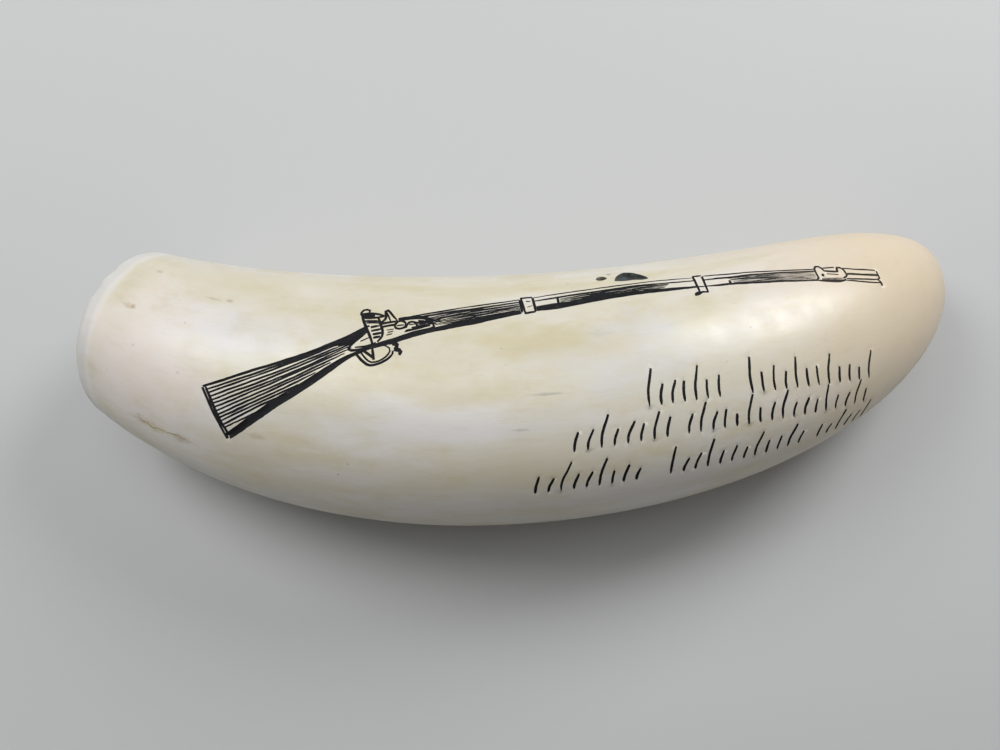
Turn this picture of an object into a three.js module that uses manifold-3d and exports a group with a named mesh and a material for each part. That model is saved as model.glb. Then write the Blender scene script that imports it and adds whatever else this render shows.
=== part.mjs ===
import * as THREE from 'three';
import { mergeVertices } from 'three/addons/utils/BufferGeometryUtils.js';
import Module from 'manifold-3d';

// Scrimshaw whale tooth, in millimetres, +Z up. It lies on its side with the sawn root end at -X, the blunt
// tip at +X and the hollow of its bend towards +Y. The picture is on the upper side, and the rows of
// pen marks run down over the bulging side. The origin is under the middle of its box.

// The bend: a curve from the middle of the sawn end to the tip, with its handles as shares of the chord
const chordLength = 149;
const rootHandle = { along: 0.398, out: 0.278 };
const tipHandle = { along: 0.951, out: 0.135 };

// Breadths seen from above, and how round the outline is
const bellyBreadth = 46.2;
const sawnBreadth = 31.8;
const thicknessShare = 0.82;
const bellyPlace = 0.421;
const rootFlare = 2.01;
const crownTaper = 2.27;
const tipBluntness = 2.455;

// The sawn end: its face leans back and turns, and its rim is worn round
const sawLean = THREE.MathUtils.degToRad(15.2);
const sawTurn = THREE.MathUtils.degToRad(-9.1);
const sawReach = 0.3;
const rimRounding = 2.2;

// The pulp cavity, an oval cone that opens in the sawn end
const cavityBreadth = 13;
const cavityThickness = 11;
const cavityDepth = 24;
const cavitySides = 20;

// How the tooth lies, and the small flat worn on its underside
const restRoll = THREE.MathUtils.degToRad(18.7);
const restTilt = THREE.MathUtils.degToRad(1.54);
const flatDepth = 0.2;

// The scratched lines: widths at the surface, and the depth of the middle width
const fineLine = 0.4;
const plainLine = 0.55;
const heavyLine = 0.95;
const lineDepth = 0.3;
const endTaper = 0.55;

// Where the picture starts and ends, from the ends of the tooth, and the level of its sight line
const buttMargin = 26.4;
const muzzleMargin = 19.6;
const sightLine = { crest: 55.5, level: -6.5, bow: 0.00436 };

// Fineness of the faceted surface and of the cuts: a cut bends less along the tooth than round it
const ringCount = 38;
const sideCount = 42;
const tipCrowding = 1.5;
const strokeStep = 2.6;
const alongEase = 0.35;
const cutterLift = 0.35;

const wasm = await Module();
wasm.setup();

const spine = new THREE.CubicBezierCurve3(
  new THREE.Vector3(0, 0, 0),
  new THREE.Vector3(rootHandle.along * chordLength, -rootHandle.out * chordLength, 0),
  new THREE.Vector3(tipHandle.along * chordLength, -tipHandle.out * chordLength, 0),
  new THREE.Vector3(chordLength, 0, 0),
);
spine.arcLengthDivisions = 400;
const spineLength = spine.getLength();
const pictureLength = spineLength - buttMargin - muzzleMargin;
const pictureUnit = pictureLength / 100;

// Half the breadth at a share of the way from the sawn end to the tip
function halfBreadth(share) {
  const crownShare = Math.max(0, (share - bellyPlace) / (1 - bellyPlace));
  const rootShare = Math.max(0, (bellyPlace - share) / bellyPlace);
  const crown = (bellyBreadth / 2) * (1 - crownShare ** crownTaper) ** (1 / tipBluntness);
  const root = bellyBreadth / 2 - ((bellyBreadth - sawnBreadth) / 2) * rootShare ** rootFlare;
  const rimShare = Math.min(1, (share * spineLength) / rimRounding);
  const rimLoss = rimRounding * (1 - Math.sqrt(1 - (1 - rimShare) ** 2));
  return (share < bellyPlace ? root : crown) - rimLoss;
}

// A point of the surface. Angle 0 faces the hollow of the bend, and a quarter turn faces up.
function surfacePoint(share, angle) {
  const along = spine.getTangentAt(share);
  const across = new THREE.Vector3(-along.y, along.x, 0);
  const breadth = halfBreadth(share) * Math.cos(angle);
  const rise = halfBreadth(share) * thicknessShare * Math.sin(angle);
  const nearSaw = Math.max(0, 1 - share / sawReach) ** 2;
  const slant = nearSaw * (Math.tan(sawTurn) * breadth - Math.tan(sawLean) * rise);
  const point = spine.getPointAt(share).addScaledVector(across, breadth).addScaledVector(along, slant);
  return point.setZ(rise);
}

// Length of girth for each radian at a share of the way along
function girthRadius(share) {
  return halfBreadth(share) * Math.sqrt((1 + thicknessShare ** 2) / 2);
}

// The surface under a distance from the sawn end and a distance round the girth from the crest
function surfaceFrame(distance, girth) {
  const share = distance / spineLength;
  const angle = Math.PI / 2 + girth / girthRadius(share);
  const tiny = 0.001;
  const point = surfacePoint(share, angle);
  const along = surfacePoint(share + tiny, angle).sub(surfacePoint(share - tiny, angle)).normalize();
  const round = surfacePoint(share, angle + tiny).sub(surfacePoint(share, angle - tiny)).normalize();
  return { point, along, normal: new THREE.Vector3().crossVectors(round, along).normalize() };
}

function toSolid(geometry) {
  const bare = geometry.clone();
  bare.deleteAttribute('normal');
  bare.deleteAttribute('uv');
  const merged = mergeVertices(bare, 1e-5);
  const vertProperties = new Float32Array(merged.attributes.position.array);
  const triVerts = new Uint32Array(merged.index.array);
  return new wasm.Manifold(new wasm.Mesh({ numProp: 3, vertProperties, triVerts }));
}

function toGeometry(solid) {
  const { vertProperties, triVerts } = solid.getMesh();
  const geometry = new THREE.BufferGeometry();
  geometry.setAttribute('position', new THREE.BufferAttribute(vertProperties, 3));
  geometry.setIndex(new THREE.BufferAttribute(triVerts, 1));
  return geometry;
}

function meshFrom(positions, faces) {
  const geometry = new THREE.BufferGeometry();
  geometry.setAttribute('position', new THREE.Float32BufferAttribute(positions, 3));
  geometry.setIndex(faces);
  return geometry;
}

// Rings close together at the worn rim and at the tip, where the outline turns fastest
function ringShares() {
  const rimShare = rimRounding / spineLength;
  const rim = [0, 0.1, 0.35, 0.7].map((part) => part * rimShare);
  const rest = [];
  for (let ring = 0; ring < ringCount - rim.length; ring += 1) {
    const left = 1 - ring / (ringCount - rim.length);
    rest.push(1 - (1 - rimShare) * left ** tipCrowding);
  }
  return [...rim, ...rest];
}

// The plain tooth: rings from the sawn face to the tip, closed by a flat fan and a point
function toothBlank() {
  const positions = [];
  const faces = [];
  const shares = ringShares();
  for (const share of shares) {
    for (let side = 0; side < sideCount; side += 1) {
      const point = surfacePoint(share, (side / sideCount) * Math.PI * 2);
      positions.push(point.x, point.y, point.z);
    }
  }
  const sawnMiddle = shares.length * sideCount;
  const tip = sawnMiddle + 1;
  positions.push(0, 0, 0, chordLength, 0, 0);
  for (let side = 0; side < sideCount; side += 1) {
    const next = (side + 1) % sideCount;
    for (let ring = 0; ring + 1 < shares.length; ring += 1) {
      const near = ring * sideCount;
      const far = near + sideCount;
      faces.push(near + side, far + next, far + side, near + side, near + next, far + next);
    }
    const last = (shares.length - 1) * sideCount;
    faces.push(sawnMiddle, next, side);
    faces.push(tip, last + side, last + next);
  }
  return meshFrom(positions, faces);
}

// The cavity's cone, along the root, with its base far enough out to clear the slanting sawn face
function pulpCavity() {
  const outside = 1 + (cavityBreadth / 2) * (Math.tan(sawLean) + Math.abs(Math.tan(sawTurn)));
  const flare = (cavityDepth + outside) / cavityDepth;
  const cone = new THREE.ConeGeometry(flare / 2, cavityDepth + outside, cavitySides);
  cone.scale(cavityBreadth, 1, cavityThickness);
  cone.translate(0, (cavityDepth + outside) / 2 - outside, 0);
  cone.rotateX(Math.PI / 2);
  const along = spine.getTangentAt(cavityDepth / 2 / spineLength);
  const across = new THREE.Vector3(-along.y, along.x, 0);
  const up = new THREE.Vector3(0, 0, 1);
  cone.applyMatrix4(new THREE.Matrix4().makeBasis(across, up, along));
  return cone;
}

// A V-shaped cutter that follows the surface under a path in the picture's own units
function grooveCutter(path, width) {
  const depth = lineDepth * Math.sqrt(width / plainLine);
  const corners = path.map(([along, drop]) => new THREE.Vector2(along, drop));
  const curve = corners.length > 2 ? new THREE.SplineCurve(corners) : new THREE.LineCurve(...corners);
  const ends = curve.getPoint(1).sub(curve.getPoint(0));
  const reach = Math.hypot(ends.x * alongEase, ends.y);
  const steps = Math.max(corners.length - 1, Math.ceil(reach / strokeStep));
  const frames = curve.getSpacedPoints(steps).map((spot) => pictureFrame(spot.x, spot.y));
  const positions = [];
  const faces = [];
  frames.forEach(({ point, normal }, index) => {
    const before = frames[Math.max(0, index - 1)].point;
    const after = frames[Math.min(steps, index + 1)].point;
    const ahead = after.clone().sub(before).normalize();
    const aside = new THREE.Vector3().crossVectors(ahead, normal).normalize();
    const taper = index === 0 || index === steps ? endTaper : 1;
    const halfTop = (width / 2) * (taper + cutterLift / depth);
    const section = [[-halfTop, cutterLift], [halfTop, cutterLift], [0, -depth * taper]];
    for (const [offset, height] of section) {
      const corner = point.clone().addScaledVector(aside, offset).addScaledVector(normal, height);
      positions.push(corner.x, corner.y, corner.z);
    }
  });
  for (let step = 0; step < steps; step += 1) {
    const near = step * 3;
    for (let corner = 0; corner < 3; corner += 1) {
      const next = (corner + 1) % 3;
      faces.push(near + corner, near + 3 + next, near + 3 + corner);
      faces.push(near + corner, near + next, near + 3 + next);
    }
  }
  const end = steps * 3;
  faces.push(0, 2, 1, end, end + 1, end + 2);
  return meshFrom(positions, faces);
}

// The picture's own units are hundredths of its length: along from the butt, and down from the sight line
function pictureFrame(along, drop) {
  const bow = sightLine.bow * (along - sightLine.crest) ** 2;
  const girth = (sightLine.level + bow + drop) * pictureUnit;
  return surfaceFrame(buttMargin + along * pictureUnit, girth);
}

const mix = THREE.MathUtils.lerp;

// The musket: a stock with a hatched butt, a flint lock, a trigger guard, a long barrel and three bands
const heel = [0, 2.4];
const toe = [4.4, 11.1];
const wristTop = [17.6, 0.7];
const wristUnder = [18.6, 4.5];
const breech = 24.6;
const muzzle = 100;
const barrelTop = -1.5;
const barrelUnder = -0.55;
const rodLine = 0.35;
const stockUnder = 1.55;
const hatchCount = 12;
const bands = [[42.9, 44.5], [70.2, 71.8], [90.2, 94.2]];

function buttStrokes() {
  const strokes = [
    { path: [heel, [1.9, 6.8], toe], width: plainLine },
    { path: [heel, [9, 2.2], wristTop, [21, -0.6], [breech, barrelTop]], width: plainLine },
    { path: [toe, [9, 8.9], [14, 6.3], wristUnder, [21.4, 3.2]], width: heavyLine },
    { path: [[6.4, 9.4], [10, 7.8], [14, 5.6], [17.8, 3.9]], width: heavyLine },
  ];
  for (let hatch = 1; hatch < hatchCount; hatch += 1) {
    const share = hatch / hatchCount;
    const start = [mix(heel[0], toe[0], share) + 1.1, mix(heel[1], toe[1], share) - 0.2];
    const end = [mix(wristTop[0], wristUnder[0], share), mix(wristTop[1], wristUnder[1], share) - 0.2];
    const reach = hatch % 2 === 0 ? 0.93 : 0.6 - 0.16 * share;
    const stop = [mix(start[0], end[0], reach), mix(start[1], end[1], reach)];
    strokes.push({ path: [start, stop], width: fineLine });
  }
  return strokes;
}

function lockStrokes() {
  return [
    { path: [[18.9, 2.4], [21, 0.6], [23.4, 0.1], [27, 0], [29.8, 1]], width: plainLine },
    { path: [[19.1, 2.9], [21.4, 2.6], [24.6, 2.1], [27.6, 1.7]], width: plainLine },
    { path: [[21.6, 1.7], [21.5, -0.3], [20.2, -2], [20, -3.7]], width: heavyLine },
    { path: [[19.4, -3.9], [22.1, -3]], width: plainLine },
    { path: [[20.6, -1.8], [22.5, -2.2]], width: plainLine },
    { path: [[22.9, -2.9], [23.6, -1.4], [24.7, -0.7]], width: heavyLine },
    { path: [[24.9, 1.2], [27, 0.9], [28.6, 1.1]], width: fineLine },
  ];
}

function guardStrokes() {
  return [
    { path: [[20.2, 3.9], [21.3, 5.4], [23.2, 5.8], [24.9, 4.8], [25.6, 3.1]], width: heavyLine },
    { path: [[22, 3.2], [22.2, 4.7]], width: plainLine },
    { path: [[25.9, 3.4], [26.9, 3.9]], width: heavyLine },
  ];
}

function barrelStrokes() {
  const strokes = [];
  const gap = 0.35;
  const stretches = [breech, ...bands.flat(), muzzle];
  for (let index = 0; index < stretches.length; index += 2) {
    const from = stretches[index] + gap;
    const to = stretches[index + 1] - gap;
    strokes.push({ path: [[from, barrelTop], [to, barrelTop]], width: fineLine });
    strokes.push({ path: [[Math.max(from, 30.4), barrelUnder], [to, barrelUnder]], width: plainLine });
    strokes.push({ path: [[Math.max(from, 30.4), rodLine], [to, rodLine]], width: fineLine });
    if (to < muzzle - 1) {
      strokes.push({ path: [[Math.max(from, 26.4), stockUnder], [to, stockUnder]], width: heavyLine });
    }
  }
  strokes.push({ path: [[muzzle - 5.2, 1.1], [muzzle, 1.6]], width: fineLine });
  strokes.push({ path: [[muzzle + 0.3, barrelTop - 0.3], [muzzle + 0.5, 1.9]], width: plainLine });
  for (const edge of bands.flat()) {
    strokes.push({ path: [[edge, -2], [edge + 0.2, 2]], width: plainLine });
  }
  strokes.push({ path: [[71.1, 2.4], [71.3, 3.3]], width: heavyLine });
  return strokes;
}

// Rows of slanted pen marks that stand in for writing: each row has groups, and drops at its start,
// middle and end
const markRows = [
  { groups: [[58, 67.4], [71.9, 89.4]], drops: [14.6, 14.3, 13.9], height: 4.2 },
  { groups: [[48, 59.8], [62.6, 88.4]], drops: [19.4, 19, 18.2], height: 3.6 },
  { groups: [[43, 55.6], [60, 78], [81, 89]], drops: [25.6, 26.4, 22.8], height: 4.4 },
];
const markSpacing = 1.75;
const markSlant = 0.9;
const markHeights = [1, 0.62, 0.7, 0.55, 0.92, 0.6, 0.66];

function markStrokes() {
  const strokes = [];
  for (const { groups, drops, height } of markRows) {
    const first = groups[0][0];
    const last = groups[groups.length - 1][1];
    for (const [from, to] of groups) {
      const count = Math.round((to - from) / markSpacing);
      for (let mark = 0; mark <= count; mark += 1) {
        const along = mix(from, to, mark / count);
        const share = (along - first) / (last - first);
        const level = mix(mix(drops[0], drops[1], share), mix(drops[1], drops[2], share), share);
        const size = height * markHeights[strokes.length % markHeights.length];
        const foot = level + height / 2;
        const lean = markSlant * (size / height);
        const head = [along + lean, foot - size];
        const waist = [along + lean * 0.25, foot - size * 0.45];
        strokes.push({ path: [[along, foot], waist, head], width: plainLine });
      }
    }
  }
  return strokes;
}

// Two old pits beside the barrel: their places in the picture's units, and their sizes
const pits = [
  { place: [57, -4.9], length: 2.2, breadth: 1.1 },
  { place: [61.2, -4.3], length: 5.8, breadth: 2.2 },
];
const pitDepth = 0.45;

function pitCutter({ place, length, breadth }) {
  const spot = pictureFrame(...place);
  const aside = new THREE.Vector3().crossVectors(spot.normal, spot.along);
  const bowl = new THREE.SphereGeometry(1, 10, 6);
  bowl.scale(length / 2, breadth / 2, pitDepth);
  bowl.applyMatrix4(new THREE.Matrix4().makeBasis(spot.along, aside, spot.normal));
  bowl.translate(spot.point.x, spot.point.y, spot.point.z);
  return bowl;
}

function layDown(geometry) {
  geometry.rotateX(-restRoll);
  geometry.rotateY(restTilt);
  geometry.computeBoundingBox();
  return geometry;
}

function buildTooth() {
  let solid = toSolid(toothBlank()).subtract(toSolid(pulpCavity()));
  const strokes = [
    ...buttStrokes(),
    ...lockStrokes(),
    ...guardStrokes(),
    ...barrelStrokes(),
    ...markStrokes(),
  ];
  for (const { path, width } of strokes) {
    solid = solid.subtract(toSolid(grooveCutter(path, width)));
  }
  for (const pit of pits) {
    solid = solid.subtract(toSolid(pitCutter(pit)));
  }
  const lying = layDown(toGeometry(solid));
  const { min, max } = lying.boundingBox;
  const size = max.clone().sub(min).multiplyScalar(2);
  const floor = new THREE.BoxGeometry(size.x, size.y, size.z);
  floor.translate((min.x + max.x) / 2, (min.y + max.y) / 2, min.z + flatDepth - size.z / 2);
  const flattened = toGeometry(toSolid(lying).subtract(toSolid(floor)));
  flattened.translate(-(min.x + max.x) / 2, -(min.y + max.y) / 2, -min.z - flatDepth);
  flattened.computeVertexNormals();
  return flattened;
}

const ivory = new THREE.MeshStandardMaterial({ color: 0xd9d2bf, roughness: 0.38, metalness: 0 });
const tooth = new THREE.Mesh(buildTooth(), ivory);
tooth.name = 'tooth';

const scrimshaw = new THREE.Group();
scrimshaw.add(tooth);

export default scrimshaw;
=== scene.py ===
import math
from itertools import product

import bpy
import numpy as np
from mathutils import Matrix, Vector
from mathutils.geometry import delaunay_2d_cdt


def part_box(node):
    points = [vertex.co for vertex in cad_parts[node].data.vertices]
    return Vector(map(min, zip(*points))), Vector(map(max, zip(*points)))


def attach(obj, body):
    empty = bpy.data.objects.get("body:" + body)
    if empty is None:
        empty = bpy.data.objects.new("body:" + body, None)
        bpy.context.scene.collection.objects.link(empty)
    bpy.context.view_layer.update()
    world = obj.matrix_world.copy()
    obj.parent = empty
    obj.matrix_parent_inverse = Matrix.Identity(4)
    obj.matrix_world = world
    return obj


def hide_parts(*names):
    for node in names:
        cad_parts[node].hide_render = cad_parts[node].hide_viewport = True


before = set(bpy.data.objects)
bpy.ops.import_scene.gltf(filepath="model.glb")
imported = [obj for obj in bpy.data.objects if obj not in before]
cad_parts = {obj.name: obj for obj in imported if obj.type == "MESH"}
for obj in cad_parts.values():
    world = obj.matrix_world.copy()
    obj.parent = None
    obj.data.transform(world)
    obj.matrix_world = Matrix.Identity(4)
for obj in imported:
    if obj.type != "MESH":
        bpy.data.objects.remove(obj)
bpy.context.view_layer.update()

mm = 0.001  # sizes below are in millimetres, meshes are in metres
print("frame loaded")

# the tooth's own form: handles are shares of the chord, places are shares of the way to the tip
toothSizes = {
    "chord": 149.0,
    "rootHandle": (0.398, 0.278),
    "tipHandle": (0.951, 0.135),
    "bellyBreadth": 46.2,
    "sawnBreadth": 31.8,
    "thicknessShare": 0.82,
    "bellyPlace": 0.421,
    "rootFlare": 2.01,
    "crownTaper": 2.27,
    "tipBluntness": 2.455,
    "sawLean": 15.2,
    "sawTurn": -9.1,
    "sawReach": 0.3,
    "rimRounding": 2.2,
    "rimEdge": 1.9,
    "cavityBreadth": 13.0,
    "cavityDepth": 24.0,
    "restRoll": 18.7,
    "restTilt": 1.54,
    "flatDepth": 0.2,
}

# how finely the skin is laid out; the panel under the picture is given by distance and angle from the crest
skinGrid = {
    "around": 176,
    "cell": 0.8,
    "rootCell": 1.1,
    "rimRings": 9,
    "tipRings": 30,
    "tipCrowding": 1.7,
    "faceRings": 12,
    "cavityRings": 10,
    "panel": (9.0, 147.0),
    "panelArc": (-0.9, 1.85),
    "clearOfStrokes": 0.3,
    "rimCrowding": 1.4,
    "pastRim": 0.3,
    "joinWithin": 0.004,
    "spineSteps": 400,
}
uvSpan = 100  # millimetres of skin to one unit of its UV map

# the scratched picture: margins from the ends of the tooth, the arc of the sight line, and the lines;
# a stroke's ends are the shares of its width that it starts and stops with
pictureSizes = {
    "buttMargin": 26.4,
    "muzzleMargin": 19.6,
    "bowMiddle": 55.5,
    "level": -6.36,
    "bow": 0.00436,
    "lineWidths": {"hair": 0.22, "fine": 0.32, "plain": 0.46, "heavy": 0.75},
    "ends": {
        "plate": (0.9, 0.9), "plateInner": (0.9, 1), "edge": (0.9, 0.6), "hatch": (0.8, 0.5),
        "shade": (0.6, 0.5), "lock": (0.85, 0.75), "fitting": (0.85, 0.8), "sight": (0.8, 0.7),
        "second": (0.6, 0.7), "under": (0.6, 0.8), "mark": (0.45, 0.8), "crack": (0.5, 0.5),
    },
    "openingRun": 0.15,
    "closingRun": 0.25,
    "shadeSwell": (1, 1.3, 0.9, 1.2),
    "curveSteps": 24,
    "fewestSteps": 3,
    "strokeStep": 0.6,
    "wobble": 0.03,
    "edgeWobble": 0.015,
    "seed": 7,
}


def spinePoints(sizes, steps=2000):
    (rootAlong, rootOut), (tipAlong, tipOut) = sizes["rootHandle"], sizes["tipHandle"]
    handles = np.array([(0, 0), (rootAlong, -rootOut), (tipAlong, -tipOut), (1, 0)]) * sizes["chord"]
    t = np.linspace(0, 1, steps)[:, None]
    weights = ((1 - t) ** 3, 3 * t * (1 - t) ** 2, 3 * t * t * (1 - t), t ** 3)
    return sum(weight * handle for weight, handle in zip(weights, handles))


spineLength = float(np.linalg.norm(np.diff(spinePoints(toothSizes), axis=0), axis=1).sum())
pictureUnit = (spineLength - pictureSizes["buttMargin"] - pictureSizes["muzzleMargin"]) / 100
crest = math.pi / 2  # the angle of the upper side, round the tooth's section


def halfBreadth(distance):
    share = np.asarray(distance, float) / spineLength
    half, sawn = toothSizes["bellyBreadth"] / 2, toothSizes["sawnBreadth"] / 2
    place, rim = toothSizes["bellyPlace"], toothSizes["rimRounding"]
    crownShare = np.clip((share - place) / (1 - place), 0, 1)
    rootShare = np.clip((place - share) / place, 0, 1)
    crown = half * (1 - crownShare ** toothSizes["crownTaper"]) ** (1 / toothSizes["tipBluntness"])
    rootLoss = (half - sawn) * rootShare ** toothSizes["rootFlare"]
    rimShare = np.clip(share * spineLength / rim, 0, 1)
    return crown - rootLoss - rim * (1 - rimShare) ** toothSizes["rimEdge"]


def girthRadius(distance):
    return halfBreadth(distance) * math.sqrt((1 + toothSizes["thicknessShare"] ** 2) / 2)


flatRadius = float(girthRadius(toothSizes["bellyPlace"] * spineLength))


# the picture is drawn in hundredths of its length, along from the butt and down from the sight line
def onTooth(points):
    along, drop = np.asarray(points, float).T
    bow = pictureSizes["bow"] * (along - pictureSizes["bowMiddle"]) ** 2
    distance = pictureSizes["buttMargin"] + along * pictureUnit
    girth = (pictureSizes["level"] + bow + drop) * pictureUnit
    return np.stack([distance, girth], 1)


def smoothPath(points, spacing):
    points = np.asarray(points, float)
    padded = np.vstack([points[:1], points, points[-1:]])
    t = np.linspace(0, 1, pictureSizes["curveSteps"], endpoint=False)[:, None]
    pieces = []
    for a, b, c, d in zip(padded, padded[1:], padded[2:], padded[3:]):
        square, cube = 2 * a - 5 * b + 4 * c - d, 3 * b - a - 3 * c + d
        pieces.append((2 * b + (c - a) * t + square * t ** 2 + cube * t ** 3) / 2)
    fine = np.vstack(pieces + [points[-1:]])
    walked = np.concatenate([[0], np.cumsum(np.linalg.norm(np.diff(fine, axis=0), axis=1))])
    steps = max(pictureSizes["fewestSteps"], math.ceil(walked[-1] / spacing))
    stops = np.linspace(0, walked[-1], steps + 1)
    return np.stack([np.interp(stops, walked, fine[:, 0]), np.interp(stops, walked, fine[:, 1])], 1)


dice = np.random.RandomState(pictureSizes["seed"])


def handNoise(count, spread=2):
    raw = dice.normal(size=count + 2 * spread)
    return np.convolve(raw, np.ones(2 * spread + 1) / math.sqrt(2 * spread + 1), "valid")


# one cut of the needle: a centreline on the tooth and the half width along it
def needleStroke(path, widths, kind):
    return penned(smoothPath(onTooth(path), pictureSizes["strokeStep"]), widths, kind, "ink")


def penned(line, widths, kind, finish):
    start, stop = pictureSizes["ends"][kind]
    ahead = np.gradient(line, axis=0)
    ahead /= np.linalg.norm(ahead, axis=1)[:, None]
    aside = np.stack([-ahead[:, 1], ahead[:, 0]], 1)
    share = np.linspace(0, 1, len(line))
    widths = np.atleast_1d(widths)
    opening = np.minimum(1, start + (1 - start) * share / pictureSizes["openingRun"])
    closing = np.minimum(1, stop + (1 - stop) * (1 - share) / pictureSizes["closingRun"])
    half = np.interp(share, np.linspace(0, 1, len(widths)), widths) / 2
    half = half * opening * closing + pictureSizes["edgeWobble"] * handNoise(len(line))
    line = line + aside * (pictureSizes["wobble"] * handNoise(len(line)))[:, None]
    outline = np.vstack([line - aside * half[:, None], (line + aside * half[:, None])[::-1]])
    width = float(widths.mean())
    return {"line": line, "half": half, "outline": outline, "width": width, "finish": finish}


def drawLines(lines, kind):
    widths = pictureSizes["lineWidths"]
    return [needleStroke(path, widths[weight], kind) for weight, paths in lines.items() for path in paths]


def mix(a, b, share):
    return a + (b - a) * share


# lines laid side by side from one guide path to another
def shadeLines(first, last, count, width):
    widths = [width * swell for swell in pictureSizes["shadeSwell"]]
    strokes = []
    for number in range(count):
        share = (number + 0.5) / count
        path = [(mix(a[0], b[0], share), mix(a[1], b[1], share)) for a, b in zip(first, last)]
        strokes.append(needleStroke(path, widths, "shade"))
    return strokes


# the musket's butt: its plate, the comb, the dark belly edge and the fan of hatches between them
buttSizes = {
    "heel": (0.0, 2.45),
    "toe": (4.3, 11.1),
    "comb": [(0, 2.45), (5.3, 2.1), (9.2, 1.8), (12.8, 1.55), (15.4, 1.15), (18.2, 0.3), (19.9, -0.5),
             (20.8, -0.8)],
    "combWidths": [0.42, 0.42, 0.46, 0.5, 0.65, 0.85, 0.8, 0.6],
    "belly": [(4.25, 10.7), (6.4, 9.6), (8.6, 8.35), (11.2, 7.05), (13.8, 5.9), (16.5, 4.5), (18.8, 3.4),
              (21, 2.95)],
    "bellyWidths": [1.35, 1.3, 1.35, 1.4, 1.3, 1.2, 1.0, 0.75],
    "bellyEdge": ((4.7, 9.76), (16.5, 3.9)),
    "plateGap": 0.42,
    "plateTaper": 0.6,
    "plateTop": 0.1,
    "plateFoot": 0.35,
    "hatches": 15,
    "hatchLead": 0.1,
    "hatchWidths": [0.38, 0.34, 0.34, 0.42],
    "hatchSlopes": (-0.08, -0.36),
    "hatchBend": 0.6,
    "hatchJitter": (0.3, 0.05),
    "shortestHatch": 1,
    "wrist": 19.0,
    "wristStart": 14,
    "wristSpread": 0.16,
}


def buttStrokes(sizes):
    heel, toe, gap = sizes["heel"], sizes["toe"], sizes["plateGap"]
    plate = pictureSizes["lineWidths"]["plain"]
    innerTop = (heel[0] + gap, heel[1] + sizes["plateTop"])
    innerFoot = (toe[0] + gap * sizes["plateTaper"], toe[1] - sizes["plateFoot"])
    strokes = [
        needleStroke([heel, toe], plate, "plate"),
        needleStroke([innerTop, innerFoot], plate, "plateInner"),
        needleStroke(sizes["comb"], sizes["combWidths"], "edge"),
        needleStroke(sizes["belly"], sizes["bellyWidths"], "edge"),
    ]
    (edgeAlong, edgeDrop), (edgeEnd, edgeRise) = sizes["bellyEdge"]
    edgeSlope = (edgeRise - edgeDrop) / (edgeEnd - edgeAlong)
    stopJitter, bendJitter = sizes["hatchJitter"]
    for hatch in range(1, sizes["hatches"]):
        share = (hatch - sizes["hatchLead"]) / sizes["hatches"]
        along, drop = mix(heel[0], toe[0], share) + gap, mix(heel[1], toe[1], share)
        slope = mix(*sizes["hatchSlopes"], share)
        meet = (edgeDrop - edgeSlope * edgeAlong - drop + slope * along) / (slope - edgeSlope)
        stop = min(meet, sizes["wrist"]) + stopJitter * dice.normal()
        if stop > along + sizes["shortestHatch"]:
            bendDrop = drop + slope * sizes["hatchBend"] * (stop - along) + bendJitter * dice.normal()
            bend = (mix(along, stop, sizes["hatchBend"]), bendDrop)
            rise = sizes["wristSpread"] * max(stop - sizes["wristStart"], 0) * (1 - share)
            path = [(along, drop), bend, (stop, drop + slope * (stop - along) - rise)]
            strokes.append(needleStroke(path, sizes["hatchWidths"], "hatch"))
    return strokes


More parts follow.
